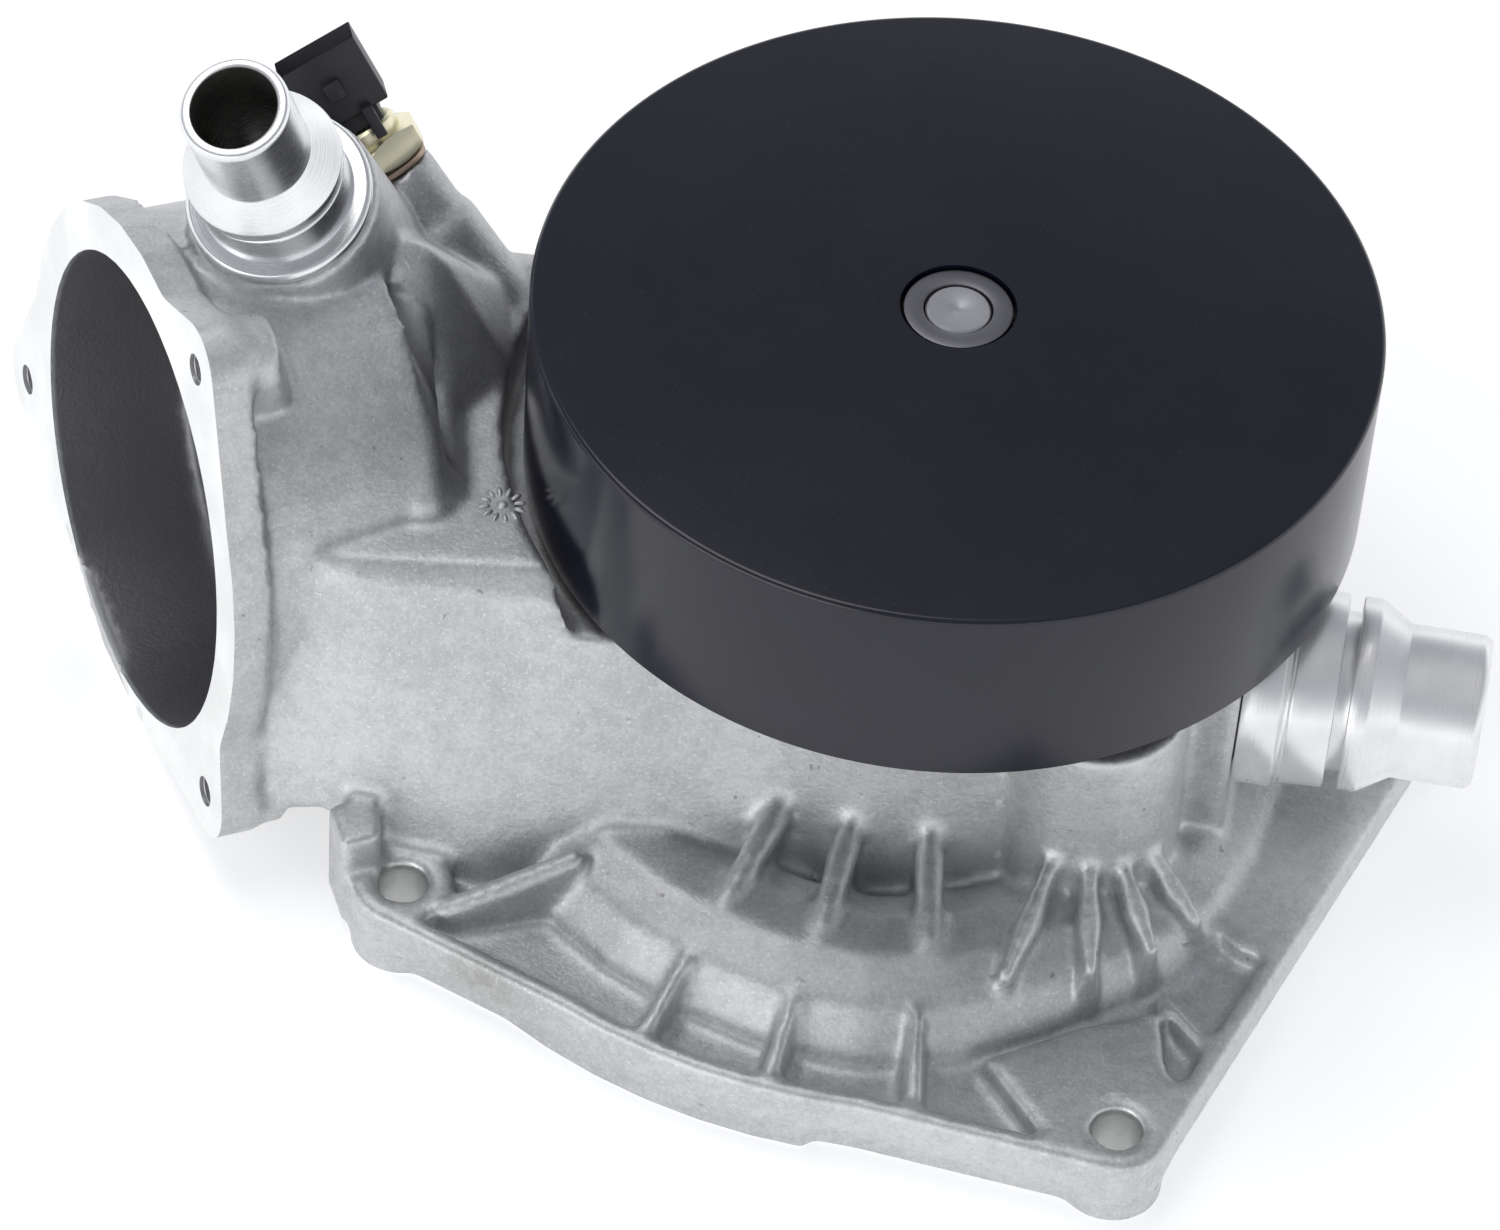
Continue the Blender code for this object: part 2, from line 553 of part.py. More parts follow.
def build_pulley():
    bottom = PULLEY_TOP - PULLEY_HEIGHT
    edge = 1.0
    inner = PULLEY_RADIUS - PULLEY_WALL
    web = PULLEY_TOP - PULLEY_WEB
    profile = [(PULLEY_HOLE, PULLEY_TOP), (PULLEY_RADIUS - edge, PULLEY_TOP),
               (PULLEY_RADIUS - edge * 0.29, PULLEY_TOP - edge * 0.29), (PULLEY_RADIUS, PULLEY_TOP - edge),
               (PULLEY_RADIUS, bottom + 0.5), (PULLEY_RADIUS - 0.5, bottom), (inner, bottom),
               (inner, web - 4), (inner - 4, web), (PULLEY_HOLE, web)]
    turned("pulley", profile, parts, None, 64, black_enamel)
    hub_top = PULLEY_TOP - 0.5
    hub_web = web - GAP
    hub_low = RACE_TOP + 3.5
    hub = [(HUB_NOSE, hub_top), (HUB_NOSE, hub_web), (HUB_FLANGE, hub_web), (HUB_FLANGE, hub_web - 5),
           (14, hub_web - 6), (13, hub_low), (SHAFT_RADIUS + GAP, hub_low), (SHAFT_RADIUS + GAP, hub_web - 2),
           (SHAFT_NOSE + GAP, hub_web - 2), (SHAFT_NOSE + GAP, hub_top)]
    turned("pulley_hub", hub, parts, None, 28, hub_steel)
    step = hub_web - 2 - GAP
    shaft = [(0, hub_top), (SHAFT_NOSE - 0.5, hub_top), (SHAFT_NOSE, hub_top - 0.5),
             (SHAFT_NOSE, step), (SHAFT_RADIUS, step), (SHAFT_RADIUS, 34), (SHAFT_TAIL, 33),
             (SHAFT_TAIL, 4.5), (5, 3.5), (0, 3.5)]
    turned("pump_shaft", shaft, parts, None, 24, bearing_steel, closed=False)


def build_impeller():
    hub = [(13, 26.5), (14, 10), (52, 8.5), (52, 5.5), (SHAFT_TAIL + GAP, 5.5), (SHAFT_TAIL + GAP, 26.5)]
    impeller = turned("impeller", hub, parts, None, 36, impeller_metal)
    count = 7
    for number in range(count):
        start = 360 / count * number
        outer = [(12 + 6.3 * i, start + 11.5 * i) for i in range(7)]
        near = [polar(radius, angle, 0) for radius, angle in outer]
        far = [polar(radius, angle + 100 / radius + 2, 0) for radius, angle in reversed(outer)]
        outline = [(point.x, point.y) for point in near + far]
        plate(f"blade_{number}", outline, 8, 22.5, blades)
    boolean(impeller, "UNION", blades)


def build_seal():
    cup = [(10.2, 50.0), (15.0, 50.0), (15.0, 37.0), (14.2, 37.0), (14.2, 49.2), (10.2, 49.2)]
    turned("seal_cup", cup, parts, None, 24, seal_steel)
    carbon = [(9.0, 35.4), (13.2, 35.4), (13.2, 31.8), (9.0, 31.8)]
    turned("seal_stationary_ring", carbon, parts, None, 24, seal_carbon)
    ring = [(SHAFT_TAIL + GAP, 31.4), (13.0, 31.4), (13.0, 26.9), (SHAFT_TAIL + GAP, 26.9)]
    turned("seal_rotating_ring", ring, parts, None, 24, seal_steel)
    turns, per_turn, low, high = 4, 16, 36.4, 48.2
    curve = bpy.data.curves.new("seal_spring", "CURVE")
    curve.dimensions = "3D"
    curve.bevel_depth = 0.7 * mm
    curve.bevel_resolution = 1
    curve.use_fill_caps = True
    spline = curve.splines.new("POLY")
    total = turns * per_turn
    spline.points.add(total)
    for index, point in enumerate(spline.points):
        place = polar(12.0, 360 * index / per_turn, low + (high - low) * index / total) * mm
        point.co = (*place, 1)
    item = add_object("seal_spring_path", curve, parts)
    spring = curve_to_mesh(item, "seal_spring", parts)
    spring.data.materials.append(seal_steel)


def build_bearing():
    race = [(RACE_INNER, RACE_TOP), (RACE_OUTER, RACE_TOP), (RACE_OUTER, RACE_BOTTOM),
            (RACE_INNER, RACE_BOTTOM)]
    turned("bearing_outer_race", race, parts, None, 32, bearing_steel)
    inner, outer = SHAFT_RADIUS + GAP, RACE_INNER - GAP
    for name, z in (("bearing_front_seal", RACE_TOP - 2), ("bearing_rear_seal", RACE_BOTTOM + 0.5)):
        ring = [(inner, z + 1.5), (outer, z + 1.5), (outer, z), (inner, z)]
        turned(name, ring, parts, None, 24, seal_rubber)
    build_cage("ball_cage", BALL_ROW, 8.6, 0)
    build_cage("roller_cage", ROLLER_ROW, 15.2, 360 / ROLLING_COUNT / 2)
    for number in range(ROLLING_COUNT):
        angle = 360 / ROLLING_COUNT * number
        place = Matrix.Translation(polar(PITCH_RADIUS, angle, BALL_ROW) * mm)
        mesh_data = bmesh.new()
        bmesh.ops.create_uvsphere(mesh_data, u_segments=10, v_segments=7, radius=ROLLING_RADIUS * mm)
        mesh = finish_mesh(f"ball_{number + 1}", mesh_data, 60)
        add_object(f"ball_{number + 1}", mesh, parts, place, bearing_steel)
        place = upright(*polar(PITCH_RADIUS, angle + 360 / ROLLING_COUNT / 2, 0).xy)
        half = ROLLER_LENGTH / 2
        cylinder(f"roller_{number + 1}", ROLLING_RADIUS, ROLLER_ROW - half, ROLLER_ROW + half, parts, place,
                 12, bearing_steel)


def build_cage(name, z, height, phase):
    """A ring with one pocket for each ball or roller."""
    half = height / 2
    profile = [(10.8, z + half), (13.2, z + half), (13.2, z - half), (10.8, z - half)]
    cage = turned(name, profile, parts, None, 40, cage_plastic)
    room = ROLLING_RADIUS + GAP
    for number in range(ROLLING_COUNT):
        turn = Matrix.Rotation(math.radians(phase + 360 / ROLLING_COUNT * number), 4, "Z")
        pocket = f"{name}_pocket_{number}"
        if name == "ball_cage":
            sideways = Matrix.Translation((0, 0, z * mm)) @ Matrix.Rotation(math.radians(90), 4, "Y")
            cutter = cylinder(pocket, room, 8, 16, small_cuts, turn @ sideways, 10)
        else:
            reach = ROLLER_LENGTH / 2 + GAP
            cutter = block(pocket, (8, -room, z - reach), (16, room, z + reach), small_cuts, turn)
        boolean(cage, "DIFFERENCE", cutter)


def centre_on_base():
    """Moves the whole pump so that its box stands centred on the origin."""
    bpy.context.view_layer.update()
    graph = bpy.context.evaluated_depsgraph_get()
    corners = []
    for item in parts.objects:
        if item.type == "MESH":
            evaluated = item.evaluated_get(graph)
            corners += [evaluated.matrix_world @ Vector(corner) for corner in evaluated.bound_box]
    low = [min(corner[i] for corner in corners) for i in range(3)]
    high = [max(corner[i] for corner in corners) for i in range(3)]
    pump_frame.location = (-(low[0] + high[0]) / 2, -(low[1] + high[1]) / 2, -low[2])


build_housing()
build_spigots()
build_sensor()
build_pulley()
build_impeller()
build_seal()
build_bearing()
centre_on_base()
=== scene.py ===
import math

import bmesh
import bpy
from mathutils import Matrix, Vector
from mathutils.bvhtree import BVHTree


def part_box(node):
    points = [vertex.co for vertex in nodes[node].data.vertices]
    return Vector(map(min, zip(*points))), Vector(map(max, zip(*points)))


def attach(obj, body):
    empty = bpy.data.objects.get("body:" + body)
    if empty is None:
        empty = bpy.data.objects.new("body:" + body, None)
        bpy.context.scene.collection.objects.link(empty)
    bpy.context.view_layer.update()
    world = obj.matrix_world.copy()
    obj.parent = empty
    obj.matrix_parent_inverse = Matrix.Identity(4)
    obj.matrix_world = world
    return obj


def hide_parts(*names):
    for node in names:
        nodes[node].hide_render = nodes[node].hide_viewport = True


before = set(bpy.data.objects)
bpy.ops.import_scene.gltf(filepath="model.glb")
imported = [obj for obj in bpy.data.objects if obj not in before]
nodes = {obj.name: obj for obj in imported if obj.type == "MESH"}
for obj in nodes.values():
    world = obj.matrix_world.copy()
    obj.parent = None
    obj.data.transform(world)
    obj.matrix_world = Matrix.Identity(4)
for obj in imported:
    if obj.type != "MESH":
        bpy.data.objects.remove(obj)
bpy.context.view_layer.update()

mm = 0.001
pulleyLow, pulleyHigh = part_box("pulley")
shaftFoot = Vector(((pulleyLow.x + pulleyHigh.x) / 2, (pulleyLow.y + pulleyHigh.y) / 2, 0))
pulleyRadius = (pulleyHigh.x - pulleyLow.x) / 2 / mm
pulleyTop, pulleyBottom = pulleyHigh.z / mm, pulleyLow.z / mm


def spot(x, y, z):
    return shaftFoot + Vector((x, y, z)) * mm


def polar(radius, angle, z):
    turn = math.radians(angle)
    return spot(radius * math.cos(turn), radius * math.sin(turn), z)


def axisPlace(origin, direction):
    # local Z runs along the direction
    return Matrix.Translation(origin) @ Vector(direction).to_track_quat("Z", "Y").to_matrix().to_4x4()


upright = Matrix.Translation(shaftFoot)
upperAxis = Vector((-0.169, -0.373, 0.913)).normalized()
outletAxis = Vector((math.cos(math.radians(-4)), math.sin(math.radians(-4)), 0))
sensorAxis = Vector((-0.553, 0.33, 0.765)).normalized()
mouthAxis = Vector((-0.878, -0.471, 0.088)).normalized()
upperPlace = axisPlace(spot(-128.0, 5.3, 111.6), upperAxis)
outletPlace = axisPlace(spot(61.5, -25.3, 41.6), outletAxis)
sensorPlace = axisPlace(spot(-112.0, 36.5, 91.0), sensorAxis)
mouthCentre = spot(-153.5, -16.5, 51.6)
mouthAcross = mouthAxis.cross(Vector((0, 0, 1))).normalized() * -1
mouthTurn = Matrix((mouthAcross, mouthAxis.cross(mouthAcross), mouthAxis)).transposed().to_4x4()
mouthPlace = Matrix.Translation(mouthCentre) @ mouthTurn
boltCentres = [(-93.1, -76.2), (44.8, -117.1), (93.5, -0.7), (52.0, 80.0), (-24.0, 104.0), (-90.0, 62.0)]
earCentres = [(-56.7, -23.8), (23.7, 53.9), (49.0, -33.9)]


# ---- shader sums ----
class Wire:
    # a socket that can be used in sums
    def __init__(self, sheet, socket):
        self.sheet, self.socket = sheet, socket

    def sum(self, operation, first, second):
        return self.sheet.add("ShaderNodeMath", {"operation": operation}, [first, second])

    def __add__(self, other):
        return self.sum("ADD", self, other)

    def __sub__(self, other):
        return self.sum("SUBTRACT", self, other)

    def __rsub__(self, other):
        return self.sum("SUBTRACT", other, self)

    def __mul__(self, other):
        return self.sum("MULTIPLY", self, other)

    __radd__ = __add__
    __rmul__ = __mul__

    def power(self, other):
        return self.sum("POWER", self, other)

    def most(self, other):
        return self.sum("MAXIMUM", self, other)

    def rise(self, low, high):
        # 0 below low, 1 above high, eased between
        inputs = {"Value": self, "From Min": low, "From Max": high}
        return self.sheet.add("ShaderNodeMapRange", {"interpolation_type": "SMOOTHSTEP"}, inputs)


class Sheet:
    # one material and its nodes
    def __init__(self, name, values):
        self.material = bpy.data.materials.new(name)
        self.material.use_nodes = True
        self.tree = self.material.node_tree
        self.shader = self.tree.nodes["Principled BSDF"]
        for socket, value in values.items():
            self.shader.inputs[socket].default_value = value
        self.here = self.add("ShaderNodeTexCoord", {}, {}, "Object")

    def add(self, kind, settings, inputs, output=0):
        node = self.tree.nodes.new(kind)
        for key, value in settings.items():
            setattr(node, key, value)
        pairs = inputs.items() if isinstance(inputs, dict) else enumerate(inputs)
        for key, value in pairs:
            if isinstance(value, Wire):
                self.tree.links.new(value.socket, node.inputs[key])
            else:
                node.inputs[key].default_value = value
        return Wire(self, node.outputs[output])

    def noise(self, scale, detail=3.0, roughness=0.55, vector=None):
        inputs = {"Vector": vector or self.here, "Scale": scale, "Detail": detail, "Roughness": roughness}
        return self.add("ShaderNodeTexNoise", {}, inputs, "Fac")

    def mix(self, factor, first, second):
        inputs = {0: factor, 6: first, 7: second}
        return self.add("ShaderNodeMix", {"data_type": "RGBA"}, inputs, 2)

    def local(self, place):
        # coordinates along the axes of a place
        inputs = {"Vector": self.here, "Location": place.to_translation(), "Rotation": place.to_euler()}
        return self.add("ShaderNodeMapping", {"vector_type": "TEXTURE"}, inputs)

    def parts(self, vector):
        node = self.add("ShaderNodeSeparateXYZ", {}, {"Vector": vector}).socket.node
        return [Wire(self, socket) for socket in node.outputs]

    def reach(self, vector, x=0.0, y=0.0):
        # distance from the line through x, y along local Z
        px, py, pz = self.parts(vector)
        return ((px - x) * (px - x) + (py - y) * (py - y)).power(0.5), pz

    def bump(self, height, strength, distance):
        inputs = {"Strength": strength, "Distance": distance, "Height": height}
        return self.add("ShaderNodeBump", {}, inputs)

    def feed(self, **wires):
        for name, wire in wires.items():
            socket = {"color": "Base Color", "roughness": "Roughness", "normal": "Normal"}[name]
            self.tree.links.new(wire.socket, self.shader.inputs[socket])
        return self.material


# what a user would change on the cast surface
# painted shade: the third tone on the next line darkens the throat of the mouth
castLook = {"dark": (0.46, 0.465, 0.47, 1), "light": (0.64, 0.645, 0.65, 1), "paintedThroatShade": (0.20, 0.20, 0.21, 1),
            # the second tone on the next line darkens the real cast pits, and is painted shade in the dark
            # patches and the spigot bores
            "machined": (0.70, 0.705, 0.70, 1), "pitAndShadeTone": (0.24, 0.235, 0.20, 1),
            "fleck": (0.80, 0.805, 0.82, 1), "grain": 1100.0,
            # painted shade: centres of the three dark patches on the next line
            "shadePatchCentres": [(-50, -78, 48), (8, -104, 26), (-78, -100, 12)],
            "throatRadius": 48.4, "throatDepth": 46.0, "boltRadius": 5.0}


def castAluminium():
    sheet = Sheet("castAluminiumLook", {"Metallic": 0.88, "Roughness": 0.45})
    grain = sheet.noise(castLook["grain"], 3, 0.6)
    fleck = sheet.noise(castLook["grain"] * 1.7, 2, 0.5)
    skin = sheet.noise(300, 3, 0.6)
    cloud = sheet.noise(22, 4, 0.6)
    tone = (cloud * 0.45 + skin * 0.25 + grain * 0.30).rise(0.36, 0.64)
    cast = sheet.mix(tone, castLook["dark"], castLook["light"])
    cast = sheet.mix(fleck.rise(0.60, 0.68) * 0.5, cast, castLook["fleck"])
    # a few dark pits, and painted shade in dark patches round three set points on the front of the casting
    pits = sheet.noise(330, 2, 0.5).rise(0.72, 0.76)
    shadePatches = None
    for x, y, z in castLook["shadePatchCentres"]:
        ends = [sheet.here, spot(x, y, z)]
        far = sheet.add("ShaderNodeVectorMath", {"operation": "DISTANCE"}, ends, "Value")
        shadePatch = 1 - (far + skin * 0.012).rise(0.010, 0.020)
        shadePatches = shadePatch if shadePatches is None else shadePatches.most(shadePatch)
    cast = sheet.mix((shadePatches * skin.rise(0.35, 0.6) * 0.55).most(pits * 0.6), cast, castLook["pitAndShadeTone"])
    # painted shade: the throat of the mouth is darkened from just below its milled face down to its floor
    throat, floor = castLook["throatRadius"] * mm, -castLook["throatDepth"] * mm
    reach, depth = sheet.reach(sheet.local(mouthPlace))
    paintedThroatShade = (1 - reach.rise(throat, throat + 0.8 * mm)) * (1 - depth.rise(-1.3 * mm, -0.3 * mm))
    paintedThroatShade = paintedThroatShade * depth.rise(floor - 4 * mm, floor)
    cast = sheet.mix(paintedThroatShade * 0.9, cast, castLook["paintedThroatShade"])
    # drilled bolt holes are bright inside
    local = sheet.local(upright)
    holes = None
    for x, y in boltCentres:
        reach, _ = sheet.reach(local, x * mm, y * mm)
        hole = 1 - reach.rise(castLook["boltRadius"] * mm, (castLook["boltRadius"] + 0.3) * mm)
        holes = hole if holes is None else holes.most(hole)
    color = sheet.mix(holes * 0.8, cast, castLook["machined"])
    roughness = 0.40 + cloud * 0.10 + grain * 0.08 - holes * 0.15
    height = grain * 0.6 + skin * 0.4
    return sheet.feed(color=color, roughness=roughness, normal=sheet.bump(height, 0.5, 0.0003))


def machinedFace():
    # a milled face with faint arcs of the cutter
    sheet = Sheet("machinedFaceLook", {"Metallic": 0.85, "Roughness": 0.28})
    reach, _ = sheet.reach(sheet.local(mouthPlace), 90 * mm, 20 * mm)
    lines = sheet.noise(1.0, 2, 0.5, sheet.add("ShaderNodeCombineXYZ", {}, [reach * 2600, 0.0, 0.0]))
    cloud = sheet.noise(40, 3, 0.6)
    color = sheet.mix(cloud.rise(0.35, 0.65), (0.80, 0.81, 0.80, 1), (0.92, 0.93, 0.92, 1))
    return sheet.feed(color=color, roughness=0.24 + lines * 0.12, normal=sheet.bump(lines, 0.12, 0.0001))


def turnedMetal(name, place, color, roughness, lines=2400.0, depth=0.00006, metallic=1.0, bore=0.0):
    # fine tool lines round an axis, and painted shade in the bore if its radius is given
    sheet = Sheet(name, {"Metallic": metallic, "Roughness": roughness})
    reach, along = sheet.reach(sheet.local(place))
    turns = sheet.add("ShaderNodeCombineXYZ", {}, [reach * lines, along * lines, 0.0])
    groove = sheet.noise(1.0, 2, 0.6, turns)
    cloud = sheet.noise(70, 3, 0.6)
    dull = tuple(value * 0.82 for value in color[:3]) + (1,)
    tone = sheet.mix(cloud.rise(0.3, 0.7) * 0.6 + groove * 0.4, dull, color)
    if bore:
        # painted shade: the wall of the bore is darkened
        tone = sheet.mix((1 - reach.rise(bore * mm, (bore + 0.3) * mm)) * 0.8, tone, castLook["pitAndShadeTone"])
    rough = roughness - 0.05 + groove * 0.08 + cloud * 0.06
    return sheet.feed(color=tone, roughness=rough, normal=sheet.bump(groove, 0.35, depth))


def enamel():
    # smooth black enamel with a trace of orange peel
    sheet = Sheet("blackEnamelLook", {"Metallic": 0.0, "Roughness": 0.2, "IOR": 1.5})
    peel = sheet.noise(420, 2, 0.5)
    cloud = sheet.noise(30, 4, 0.6)
    dust = sheet.noise(1500, 2, 0.5).rise(0.66, 0.74)
    color = sheet.mix(cloud.rise(0.3, 0.7), (0.0048, 0.0056, 0.0125, 1), (0.0068, 0.0076, 0.0160, 1))
    color = sheet.mix(dust * 0.12, color, (0.05, 0.05, 0.055, 1))
    return sheet.feed(color=color, roughness=0.16 + cloud * 0.08 + dust * 0.1,
                      normal=sheet.bump(peel, 0.06, 0.0001))


def moulded(name, color, roughness, grain=1400.0):
    sheet = Sheet(name, {"Metallic": 0.0, "Roughness": roughness})
    fine = sheet.noise(grain, 3, 0.6)
    cloud = sheet.noise(60, 3, 0.6)
    lighter = tuple(min(1, value * 1.35 + 0.004) for value in color[:3]) + (1,)
    tone = sheet.mix(cloud.rise(0.35, 0.65), color, lighter)
    return sheet.feed(color=tone, roughness=roughness - 0.04 + fine * 0.1 + cloud * 0.05,
                      normal=sheet.bump(fine, 0.3, 0.0001))


castSkin = castAluminium()
milledFace = machinedFace()
upperTurned = turnedMetal("upperSpigotLook", upperPlace, (0.86, 0.87, 0.88, 1), 0.25,
                          metallic=0.95, bore=8.2)
outletTurned = turnedMetal("outletSpigotLook", outletPlace, (0.93, 0.935, 0.94, 1), 0.27,
                           metallic=0.6, bore=12.1)
blackEnamel = enamel()
hubSteel = turnedMetal("hubSteelLook", upright, (0.20, 0.20, 0.215, 1), 0.42, 3000, 0.00005)
shaftSteel = turnedMetal("shaftSteelLook", upright, (0.50, 0.50, 0.52, 1), 0.40, 3000, 0.00004)
bearingSteel = turnedMetal("bearingSteelLook", upright, (0.60, 0.60, 0.62, 1), 0.16, 4000, 0.00001)
sealSteel = turnedMetal("sealSteelLook", upright, (0.52, 0.52, 0.53, 1), 0.3, 2500, 0.00003)
impellerMetal = turnedMetal("impellerLook", upright, (0.34, 0.335, 0.33, 1), 0.5, 900, 0.00006, 0.9)
brassMetal = turnedMetal("brassLook", sensorPlace, (0.90, 0.85, 0.62, 1), 0.33, 2200, 0.00004)
copperMetal = turnedMetal("copperLook", sensorPlace, (0.50, 0.38, 0.30, 1), 0.45)
tinMetal = turnedMetal("tinLook", sensorPlace, (0.70, 0.70, 0.67, 1), 0.28)
plugPlastic = moulded("plugPlasticLook", (0.018, 0.018, 0.022, 1), 0.42)
cagePlastic = moulded("cagePlasticLook", (0.50, 0.38, 0.18, 1), 0.5)
sealRubber = moulded("sealRubberLook", (0.02, 0.02, 0.02, 1), 0.66)
sealCarbon = moulded("sealCarbonLook", (0.03, 0.03, 0.035, 1), 0.34)
print("materials made")


# ---- pieces ----
def finishPiece(name, shape, material, body, replaced=(), sharp=32):
    mesh = bpy.data.meshes.new(name)
    shape.to_mesh(mesh)
    shape.free()
    piece = bpy.data.objects.new(name, mesh)
    bpy.context.scene.collection.objects.link(piece)
    for item in (material if isinstance(material, list) else [material]):
        mesh.materials.append(item)
    mesh.shade_smooth()
    mesh.set_sharp_from_angle(angle=math.radians(sharp))
    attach(piece, body)
    if replaced:
        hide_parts(*replaced)
    return piece


def bevelSharp(shape, width, segments=2, angle=28):
    edges = [edge for edge in shape.edges
             if len(edge.link_faces) == 2 and math.degrees(edge.calc_face_angle(0)) > angle]
    bmesh.ops.bevel(shape, geom=edges, offset=width * mm, offset_type="OFFSET", segments=segments,
                    profile=0.5, affect="EDGES", clamp_overlap=True, material=-1)


def spin(profile, place, steps, bevel, closed=True):
    # a turned solid; the profile gives radius and height of each corner
    shape = bmesh.new()
    corners = [shape.verts.new((radius * mm, 0, z * mm)) for radius, z in profile]
    pairs = list(zip(corners, corners[1:])) + ([(corners[-1], corners[0])] if closed else [])
    edges = [shape.edges.new(pair) for pair in pairs]
    bmesh.ops.spin(shape, geom=corners + edges, cent=(0, 0, 0), axis=(0, 0, 1),
                   angle=math.tau, steps=steps, use_merge=True)
    bmesh.ops.remove_doubles(shape, verts=shape.verts, dist=1e-7)
    bmesh.ops.recalc_face_normals(shape, faces=shape.faces)
    if bevel:
        bevelSharp(shape, bevel)
    bmesh.ops.transform(shape, matrix=place, verts=shape.verts)
    return shape


def cuboid(low, high, bevel):
    shape = bmesh.new()
    low, high = Vector(low) * mm, Vector(high) * mm
    size = Matrix.Diagonal((*(high - low), 1))
    bmesh.ops.create_cube(shape, size=1, matrix=Matrix.Translation((low + high) / 2) @ size)
    bevelSharp(shape, bevel)
    return shape


def merge(shape, *others):
    # adds the bodies of other shapes to the first one
    for other in others:
        mesh = bpy.data.meshes.new("loose")
        other.to_mesh(mesh)
        other.free()
        shape.from_mesh(mesh)
        bpy.data.meshes.remove(mesh)


def addTaper(shape, start, end, startRadius, endRadius):
    # a round bar between two points, with ball ends
    start, end = Vector(start), Vector(end)
    along = end - start
    place = axisPlace((start + end) / 2, along)
    bmesh.ops.create_cone(shape, cap_ends=True, segments=14, radius1=startRadius * mm,
                          radius2=endRadius * mm, depth=along.length, matrix=place)
    for point, radius in ((start, startRadius), (end, endRadius)):
        bmesh.ops.create_uvsphere(shape, u_segments=14, v_segments=9, radius=radius * mm,
                                  matrix=Matrix.Translation(point))


def settled(piece):
    # the mesh with its modifiers applied
    bpy.context.view_layer.update()
    graph = bpy.context.evaluated_depsgraph_get()
    return bpy.data.meshes.new_from_object(piece.evaluated_get(graph))


casting = {"voxel": 1.15, "quickVoxel": 2.2, "smoothing": 6, "triangles": 185000, "stock": 2.5,
           "ribRadius": 3.1, "ribTip": 2.3, "finTip": 0.9,
           "wallRibs": (-111.5, -99, -85.5), "fanFoot": (33.5, -51, 0),
           "fanRibs": [(-106.5, 41, 24), (-84, 35.5, 24), (-63, 32, 23), (-40, 29, 21)],
           "cornerRib": [(-61, -73.5, 23.5), (-83, -81, 14.5)],
           "shoulder": [((-104, -1, 89), (-98.5, -24, 82.5), 5.0),
                        ((-98.5, -24, 82.5), (-95.5, -33, 74.5), 5.0),
                        ((-97, -7, 76), (-92.5, -30, 73), 4.5)]}


def addRibs(shape):
    # the wall ribs and the fins on the rim share their angles, the fan spreads from the foot of the dome
    fat, blunt, thin = casting["ribRadius"], casting["ribTip"], casting["finTip"]
    for angle in casting["wallRibs"]:
        addTaper(shape, polar(67.5, angle, 28), polar(85.5, angle, 24.5), fat, fat * 0.8)
        addTaper(shape, polar(104, angle - 1, 17), polar(114, angle - 1, 12.2), thin, blunt)
    foot = spot(*casting["fanFoot"])
    for angle, reach, z in casting["fanRibs"]:
        turn = math.radians(angle)
        side = Vector((math.cos(turn), math.sin(turn), 0)) * mm
        high = foot + side * 17 + Vector((0, 0, 30.5 * mm))
        low = foot + side * reach + Vector((0, 0, z * mm))
        middle = high.lerp(low, 0.55) - Vector((0, 0, 0.8 * mm))
        addTaper(shape, high, middle, thin * 1.4, fat * 0.9)
        addTaper(shape, middle, low, fat * 0.9, thin * 1.4)
    start, end = casting["cornerRib"]
    addTaper(shape, spot(*start), spot(*end), fat * 0.75, fat * 0.85)
    # the shoulder between the conduit and the deck is rounded
    for start, end, radius in casting["shoulder"]:
        addTaper(shape, spot(*start), spot(*end), radius, radius)


def cutFace(shape, point, normal):
    # mills the casting flat and closes the cut with its own bright faces
    cut = bmesh.ops.bisect_plane(shape, geom=shape.verts[:] + shape.edges[:] + shape.faces[:], dist=1e-6,
                                 plane_co=point, plane_no=normal, clear_outer=True)["geom_cut"]
    edges = [item for item in cut if isinstance(item, bmesh.types.BMEdge)]
    made = bmesh.ops.triangle_fill(shape, use_beauty=True, edges=edges, normal=normal)["geom"]
    for face in made:
        if isinstance(face, bmesh.types.BMFace):
            face.material_index = 1
            face.normal_update()
            if face.normal.dot(normal) < 0:
                face.normal_flip()


